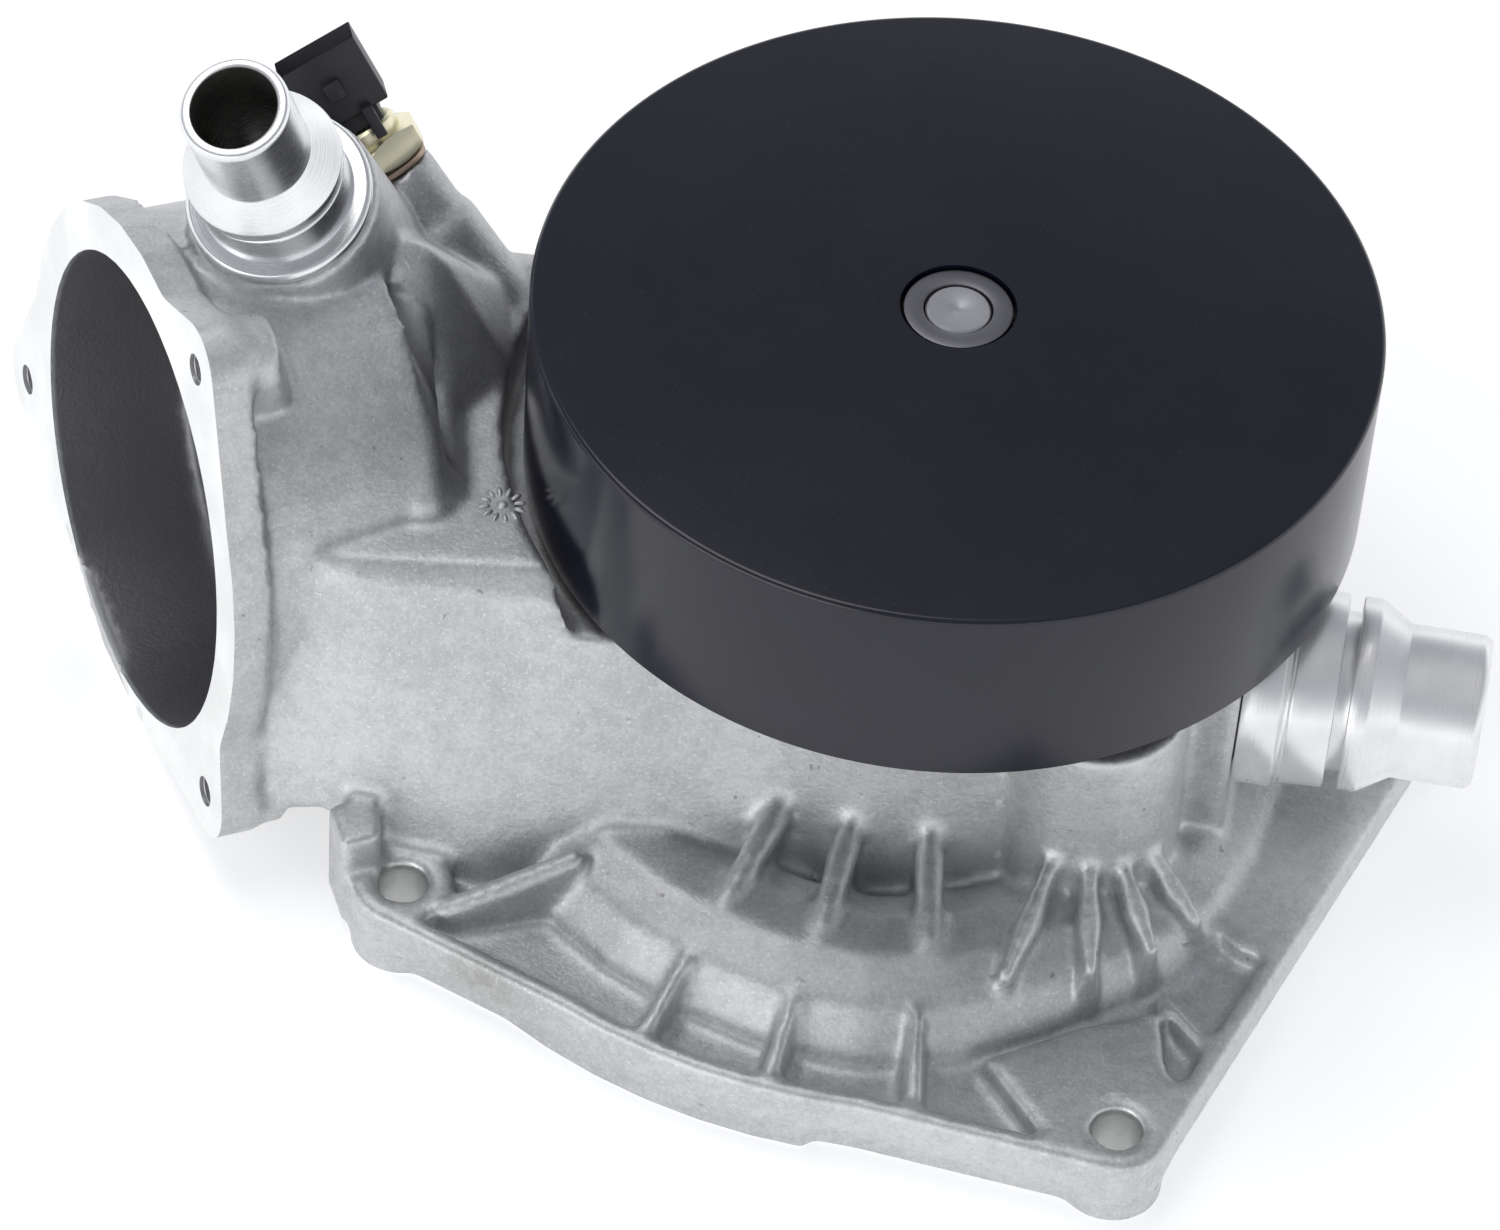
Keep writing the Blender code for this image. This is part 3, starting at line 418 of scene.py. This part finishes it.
def makeCasting():
    shape = bmesh.new()
    shape.from_mesh(nodes["pump_housing"].data)
    bmesh.ops.remove_doubles(shape, verts=shape.verts, dist=1e-6)
    # spare stock on the two milled faces, so that the cutter leaves a crisp edge
    nearly, stock = 0.02 * mm, casting["stock"] * mm
    mouthVerts = [vert for vert in shape.verts if abs((vert.co - mouthCentre).dot(mouthAxis)) < nearly]
    bmesh.ops.translate(shape, verts=mouthVerts, vec=mouthAxis * stock)
    footVerts = [vert for vert in shape.verts if abs(vert.co.z) < nearly]
    bmesh.ops.translate(shape, verts=footVerts, vec=(0, 0, -stock))
    addRibs(shape)
    mesh = bpy.data.meshes.new("castingBlank")
    shape.to_mesh(mesh)
    shape.free()
    blank = bpy.data.objects.new("castingBlank", mesh)
    bpy.context.scene.collection.objects.link(blank)
    remesh = blank.modifiers.new("sand", "REMESH")
    remesh.mode = "VOXEL"
    remesh.voxel_size = casting["voxel"] * mm
    smooth = blank.modifiers.new("fillets", "SMOOTH")
    smooth.factor, smooth.iterations = 0.5, casting["smoothing"]
    blank.data = settled(blank)
    blank.modifiers.clear()
    triangles = 2 * len(blank.data.polygons)
    if triangles > casting["triangles"]:
        lighter = blank.modifiers.new("lighter", "DECIMATE")
        lighter.ratio = casting["triangles"] / triangles
        blank.data = settled(blank)
    shape = bmesh.new()
    shape.from_mesh(blank.data)
    bpy.data.objects.remove(blank)
    cutFace(shape, mouthCentre, mouthAxis)
    cutFace(shape, Vector((0, 0, 0)), Vector((0, 0, -1)))
    print("casting faces", len(shape.faces))
    return finishPiece("castHousing", shape, [castSkin, milledFace], "housing",
                       ["pump_housing"], 50)


castHousing = makeCasting()
bpy.context.view_layer.update()
castTree = BVHTree.FromObject(castHousing, bpy.context.evaluated_depsgraph_get())
print("casting made")


def dropped(x, y):
    # the cast surface straight below a point, and its normal
    hit, normal, _, _ = castTree.ray_cast(spot(x, y, 130), Vector((0, 0, -1)))
    return hit, normal


dateMark = {"x": -81.0, "y": -31.5, "petals": 12, "inner": 2.2, "outer": 4.6, "height": 0.45, "width": 0.55}


def makeDateMark():
    # a plain ring of raised petals, as foundries leave for a date
    hit, normal = dropped(dateMark["x"], dateMark["y"])
    place = axisPlace(hit, normal)
    shape = bmesh.new()
    middle = (dateMark["inner"] + dateMark["outer"]) / 2 * mm
    length = (dateMark["outer"] - dateMark["inner"]) / 2 * mm
    for number in range(dateMark["petals"]):
        turn = Matrix.Rotation(math.tau * number / dateMark["petals"], 4, "Z")
        size = Matrix.Diagonal((length, dateMark["width"] * mm, dateMark["height"] * mm, 1))
        bmesh.ops.create_uvsphere(shape, u_segments=12, v_segments=8, radius=1,
                                  matrix=place @ turn @ Matrix.Translation((middle, 0, 0)) @ size)
    bmesh.ops.create_uvsphere(shape, u_segments=14, v_segments=8, radius=1,
                              matrix=place @ Matrix.Diagonal((1.1 * mm, 1.1 * mm, 0.5 * mm, 1)))
    finishPiece("foundryMark", shape, castSkin, "housing")


makeDateMark()

upperSpigot = [(9.8, 39.6), (10.4, 38.6), (10.4, 21.3), (15.1, 16.2), (15.1, 13.7), (13.6, 13.7),
               (13.6, 12.2), (14.5, 11.6), (14.5, 2.8), (17.0, 2.8), (17.8, 2.0), (17.8, 0.3),
               (12.7, 0.3), (12.7, -16.0), (8.1, -16.0), (8.1, 39.6)]
outletSpigot = [(13.9, 45.5), (14.8, 44.2), (14.8, 30.0), (18.6, 23.9), (18.6, 20.4), (15.4, 20.4),
                (15.4, 17.6), (18.7, 17.6), (19.1, 9.4), (18.5, 9.0), (18.5, 8.2), (20.1, 7.6),
                (20.1, 0.3), (15.7, 0.3), (15.7, -12.0), (12.0, -12.0), (12.0, 45.5)]


def makeSpigots():
    shape = spin(upperSpigot, upperPlace, 128, 0.3)
    finishPiece("upperHoseSpigot", shape, upperTurned, "housing",
                ["upper_hose_spigot", "upper_spigot_o_ring"])
    shape = spin(outletSpigot, outletPlace, 128, 0.3)
    finishPiece("outletHoseSpigot", shape, outletTurned, "housing",
                ["outlet_hose_spigot", "outlet_spigot_o_ring"])


pulleySizes = {"wall": 4.0, "web": 4.6, "hole": 11.0, "edge": 1.1, "edgeSteps": 4}


def makePulley():
    edge, wall = pulleySizes["edge"], pulleySizes["wall"]
    web = pulleyTop - pulleySizes["web"]
    inner = pulleyRadius - wall
    profile = [(pulleySizes["hole"], pulleyTop)]
    middle, height = pulleyRadius - edge, pulleyTop - edge
    for step in range(pulleySizes["edgeSteps"] + 1):
        turn = math.radians(90 - 90 * step / pulleySizes["edgeSteps"])
        profile.append((middle + edge * math.cos(turn), height + edge * math.sin(turn)))
    profile += [(pulleyRadius, pulleyBottom + 0.4), (pulleyRadius - 0.4, pulleyBottom), (inner, pulleyBottom),
                (inner, web - 4), (inner - 1.2, web - 1.2), (inner - 4, web), (pulleySizes["hole"], web)]
    shape = spin(profile, upright, 256, 0)
    finishPiece("flatPulley", shape, blackEnamel, "rotor", ["pulley"], 40)


# the flange sits under the web, the nose is the bright shaft end in its middle
hubSizes = {"low": 90.5, "drop": 0.5, "flange": 24, "boss": 13, "nose": 6.2, "shaft": 8, "shaftTop": 2.3}


def makeHub():
    top, web = pulleyTop - hubSizes["drop"], pulleyTop - pulleySizes["web"] - 0.3
    low, nose, shaftRadius = hubSizes["low"], hubSizes["nose"], hubSizes["shaft"]
    flange, boss = hubSizes["flange"], hubSizes["boss"]
    hub = [(10.3, top), (10.3, web), (flange, web), (flange, web - 5), (boss + 1, web - 6), (boss, low),
           (shaftRadius + 0.3, low), (shaftRadius + 0.3, web - 2), (nose + 0.3, web - 2), (nose + 0.3, top)]
    shape = spin(hub, upright, 96, 0.35)
    finishPiece("pulleyHub", shape, hubSteel, "rotor", ["pulley_hub"])
    step = web - hubSizes["shaftTop"]
    shaft = [(0, top - 0.5), (1.0, top - 0.1), (nose - 0.5, top), (nose, top - 0.5), (nose, step),
             (shaftRadius, step), (shaftRadius, 34), (6, 33), (6, 4.5), (5, 3.5), (1.6, 3.5), (0, 4.8)]
    shape = spin(shaft, upright, 64, 0, closed=False)
    finishPiece("pumpShaft", shape, shaftSteel, "rotor", ["pump_shaft"])


sensorSizes = {"acrossFlats": 19.0, "low": 1.7, "high": 7.9, "collarTop": 10.6, "turn": 20}


def makeSensor():
    low, high, collarTop = sensorSizes["low"], sensorSizes["high"], sensorSizes["collarTop"]
    turn = Matrix.Rotation(math.radians(sensorSizes["turn"]), 4, "Z")
    shape = bmesh.new()
    radius = sensorSizes["acrossFlats"] / 2 / math.cos(math.radians(30)) * mm
    middle = (low + high) / 2 * mm
    bmesh.ops.create_cone(shape, cap_ends=True, segments=6, radius1=radius, radius2=radius,
                          depth=(high - low) * mm, matrix=Matrix.Translation((0, 0, middle)))
    # the corners are turned back at both ends, as on any bar-turned hexagon
    rims = [edge for edge in shape.edges if abs(edge.verts[0].co.z - edge.verts[1].co.z) < 1e-6]
    bmesh.ops.subdivide_edges(shape, edges=rims, cuts=7, use_grid_fill=False)
    for vert in shape.verts:
        drop = max(0.0, math.hypot(vert.co.x, vert.co.y) / mm - 9.3) * 0.62
        vert.co.z += drop * mm * (-1 if vert.co.z > middle else 1)
    bevelSharp(shape, 0.18, 2, 30)
    bmesh.ops.transform(shape, matrix=sensorPlace @ turn, verts=shape.verts)
    stem = spin([(0, low + 0.8), (6, low + 0.8), (6, -16), (3.6, -18), (3.6, -27), (0, -27)],
                sensorPlace, 48, 0, closed=False)
    collar = spin([(0, collarTop), (6.6, collarTop), (7.2, collarTop - 0.6), (7.2, high - 1), (0, high - 1)],
                  sensorPlace, 72, 0, closed=False)
    merge(shape, stem, collar)
    finishPiece("sensorBody", shape, brassMetal, "housing", ["sensor_body"])
    shape = spin([(9.0, 1.4), (9.0, 0.3), (7.0, 0.3), (7.0, 1.4)], sensorPlace, 72, 0.15)
    finishPiece("sensorWasher", shape, copperMetal, "housing", ["sensor_seal_washer"])


plugSizes = {"length": 16.4, "width": 13.0, "foot": 10.9, "body": 14.1, "top": 28.1, "floor": 17.4,
             "wall": 1.6, "turn": 140}


def makePlug():
    place = sensorPlace @ Matrix.Rotation(math.radians(plugSizes["turn"]), 4, "Z")
    foot, body, top, floor = (plugSizes[key] for key in ("foot", "body", "top", "floor"))
    shape = bmesh.new()
    size = Matrix.Diagonal((plugSizes["length"] * mm, plugSizes["width"] * mm, (top - body) * mm, 1))
    bmesh.ops.create_cube(shape, size=1, matrix=Matrix.Translation((0, 0, (body + top) / 2 * mm)) @ size)
    bmesh.ops.recalc_face_normals(shape, faces=shape.faces)
    # the open socket is the top face, inset and pushed down
    upper = [face for face in shape.faces if face.normal.z > 0.9]
    bmesh.ops.inset_region(shape, faces=upper, thickness=plugSizes["wall"] * mm, depth=0)
    bmesh.ops.translate(shape, verts=upper[0].verts, vec=(0, 0, (floor - top) * mm))
    bevelSharp(shape, 0.45, 3, 40)
    # neck, latch nub, ridge, then the two clip legs
    blocks = [((-5.5, -5.6, foot), (5.5, 5.6, body + 0.6), 0.4),
              ((-1.8, -8.3, body + 4.6), (1.8, -6.2, body + 8.4), 0.35),
              ((-7.4, 6.2, body + 2), (7.4, 7.0, body + 3.2), 0.2)]
    for side in (-3.6, 3.6):
        blocks.append(((side - 1.1, -9.0, foot - 2.4), (side + 1.1, -7.7, body + 1), 0.3))
        blocks.append(((side - 1.05, -8.9, foot + 1), (side + 1.05, -5, body + 0.9), 0.3))
    merge(shape, *[cuboid(low, high, bevel) for low, high, bevel in blocks])
    bmesh.ops.transform(shape, matrix=place, verts=shape.verts)
    finishPiece("sensorPlug", shape, plugPlastic, "housing", ["sensor_plug_housing"])


threadSizes = {"root": 3.35, "crest": 2.85, "back": 3.6, "pitch": 1.0, "turns": 15, "start": -0.5}


def makeEarThreads():
    # rolled rings inside the three tapped holes of the mouth
    root, back, start, pitch = (threadSizes[key] for key in ("root", "back", "start", "pitch"))
    profile = []
    for turn in range(threadSizes["turns"]):
        z = start - turn * pitch
        profile += [(root, z), (threadSizes["crest"], z - pitch / 2)]
    end = start - threadSizes["turns"] * pitch - 0.1
    profile += [(root, end), (back, end), (back, start)]
    for number, (x, y) in enumerate(earCentres, 1):
        shape = spin(profile, mouthPlace @ Matrix.Translation((x * mm, y * mm, 0)), 36, 0)
        finishPiece(f"earThread{number}", shape, shaftSteel, "housing", sharp=20)


makeSpigots()
makePulley()
makeHub()
makeSensor()
makePlug()
makeEarThreads()
print("turned and moulded pieces made")

# the inner pieces keep their CAD shape
innerLooks = {"bearing_outer_race": bearingSteel, "bearing_front_seal": sealRubber,
              "bearing_rear_seal": sealRubber, "seal_cup": sealSteel,
              "seal_stationary_ring": sealCarbon, "seal_spring": sealSteel,
              "seal_rotating_ring": sealSteel, "ball_cage": cagePlastic, "roller_cage": cagePlastic,
              "impeller": impellerMetal, "sensor_terminal_1": tinMetal, "sensor_terminal_2": tinMetal}
for number in range(1, 9):
    innerLooks[f"ball_{number}"] = innerLooks[f"roller_{number}"] = bearingSteel
# the CAD pieces behind the finer ones get the same looks
hidden = {"pump_housing": castSkin, "pulley": blackEnamel, "pulley_hub": hubSteel, "pump_shaft": shaftSteel,
          "upper_hose_spigot": upperTurned, "outlet_hose_spigot": outletTurned, "sensor_body": brassMetal,
          "upper_spigot_o_ring": sealRubber, "outlet_spigot_o_ring": sealRubber,
          "sensor_seal_washer": copperMetal, "sensor_plug_housing": plugPlastic}
for name, material in {**innerLooks, **hidden}.items():
    for slot in nodes[name].material_slots:
        slot.material = material


# ---- stage ----
def lookAt(item, target):
    item.rotation_euler = (Vector(target) - item.location).to_track_quat("-Z", "Y").to_euler()


def softLight(name, location, size, power, target):
    data = bpy.data.lights.new(name, "AREA")
    data.energy, data.shape, data.size, data.size_y = power, "RECTANGLE", size[0], size[1]
    item = bpy.data.objects.new(name, data)
    item.location = location
    bpy.context.scene.collection.objects.link(item)
    lookAt(item, target)


# sky stops run from straight down at 0, through the horizon at 0.5, to straight up at 1
studio = {"floorColor": (0.88, 0.88, 0.88, 1), "floorGlow": 0.45, "worldLevel": 1.5, "key": 6.0, "fill": 5.0,
          "sky": [(0.0, (1.0, 1.0, 1.0)), (0.54, (1.0, 1.0, 1.0)), (0.62, (0.70, 0.71, 0.73)),
                  (0.72, (0.30, 0.31, 0.335)), (0.86, (0.20, 0.21, 0.235)), (1.0, (0.34, 0.34, 0.35))]}


def makeStage():
    shape = bmesh.new()
    bmesh.ops.create_grid(shape, x_segments=1, y_segments=1, size=6)
    bmesh.ops.translate(shape, verts=shape.verts, vec=(0, 0, -0.0003))
    mesh = bpy.data.meshes.new("studioFloor")
    shape.to_mesh(mesh)
    shape.free()
    floor = bpy.data.objects.new("studioFloor", mesh)
    bpy.context.scene.collection.objects.link(floor)
    # the table is lit a little from below, like a light table
    sheet = Sheet("studioFloorLook", {"Base Color": studio["floorColor"], "Roughness": 0.8,
                                      "Emission Color": (1, 1, 1, 1),
                                      "Emission Strength": studio["floorGlow"]})
    mesh.materials.append(sheet.material)
    world = bpy.data.worlds.new("studioWorld")
    world.use_nodes = True
    tree = world.node_tree
    back = tree.nodes["Background"]
    back.inputs["Strength"].default_value = studio["worldLevel"]
    # bright round the horizon, calmer overhead
    where = tree.nodes.new("ShaderNodeTexCoord")
    split = tree.nodes.new("ShaderNodeSeparateXYZ")
    level = tree.nodes.new("ShaderNodeMapRange")
    level.inputs["From Min"].default_value = -1
    ramp = tree.nodes.new("ShaderNodeValToRGB")
    stops = ramp.color_ramp
    while len(stops.elements) < len(studio["sky"]):
        stops.elements.new(0.5)
    for element, (position, color) in zip(stops.elements, studio["sky"]):
        element.position, element.color = position, (*color, 1)
    tree.links.new(where.outputs["Generated"], split.inputs[0])
    tree.links.new(split.outputs["Z"], level.inputs["Value"])
    tree.links.new(level.outputs[0], ramp.inputs["Fac"])
    tree.links.new(ramp.outputs["Color"], back.inputs["Color"])
    bpy.context.scene.world = world
    softLight("keyLight", (-0.45, 0.30, 1.6), (0.9, 0.9), studio["key"], (0, 0, 0.05))
    softLight("fillLight", (-1.0, -1.3, 0.55), (1.3, 0.9), studio["fill"], (0, 0, 0.05))
    bpy.context.scene.view_settings.view_transform = "Standard"


# the angles are in radians
cameraSetting = {"yaw": -0.03698, "pitch": 0.82631, "roll": 0.07714, "lens": 168, "film": 36,
                 "place": (0, -928.6, pulleyTop + 918.2)}


def makeCamera():
    yaw, pitch, roll = (cameraSetting[key] for key in ("yaw", "pitch", "roll"))
    view = Vector((math.sin(yaw) * math.cos(pitch), math.cos(yaw) * math.cos(pitch), -math.sin(pitch)))
    side = view.cross(Vector((0, 0, 1))).normalized()
    rise = side.cross(view)
    right = side * math.cos(roll) + rise * math.sin(roll)
    up = rise * math.cos(roll) - side * math.sin(roll)
    data = bpy.data.cameras.new("studioCamera")
    data.lens, data.sensor_width, data.clip_start = cameraSetting["lens"], cameraSetting["film"], 0.01
    camera = bpy.data.objects.new("studioCamera", data)
    turn = Matrix((right, up, -view)).transposed().to_4x4()
    camera.matrix_world = Matrix.Translation(spot(*cameraSetting["place"])) @ turn
    bpy.context.scene.collection.objects.link(camera)
    bpy.context.scene.camera = camera


makeStage()
makeCamera()
print("stage made")
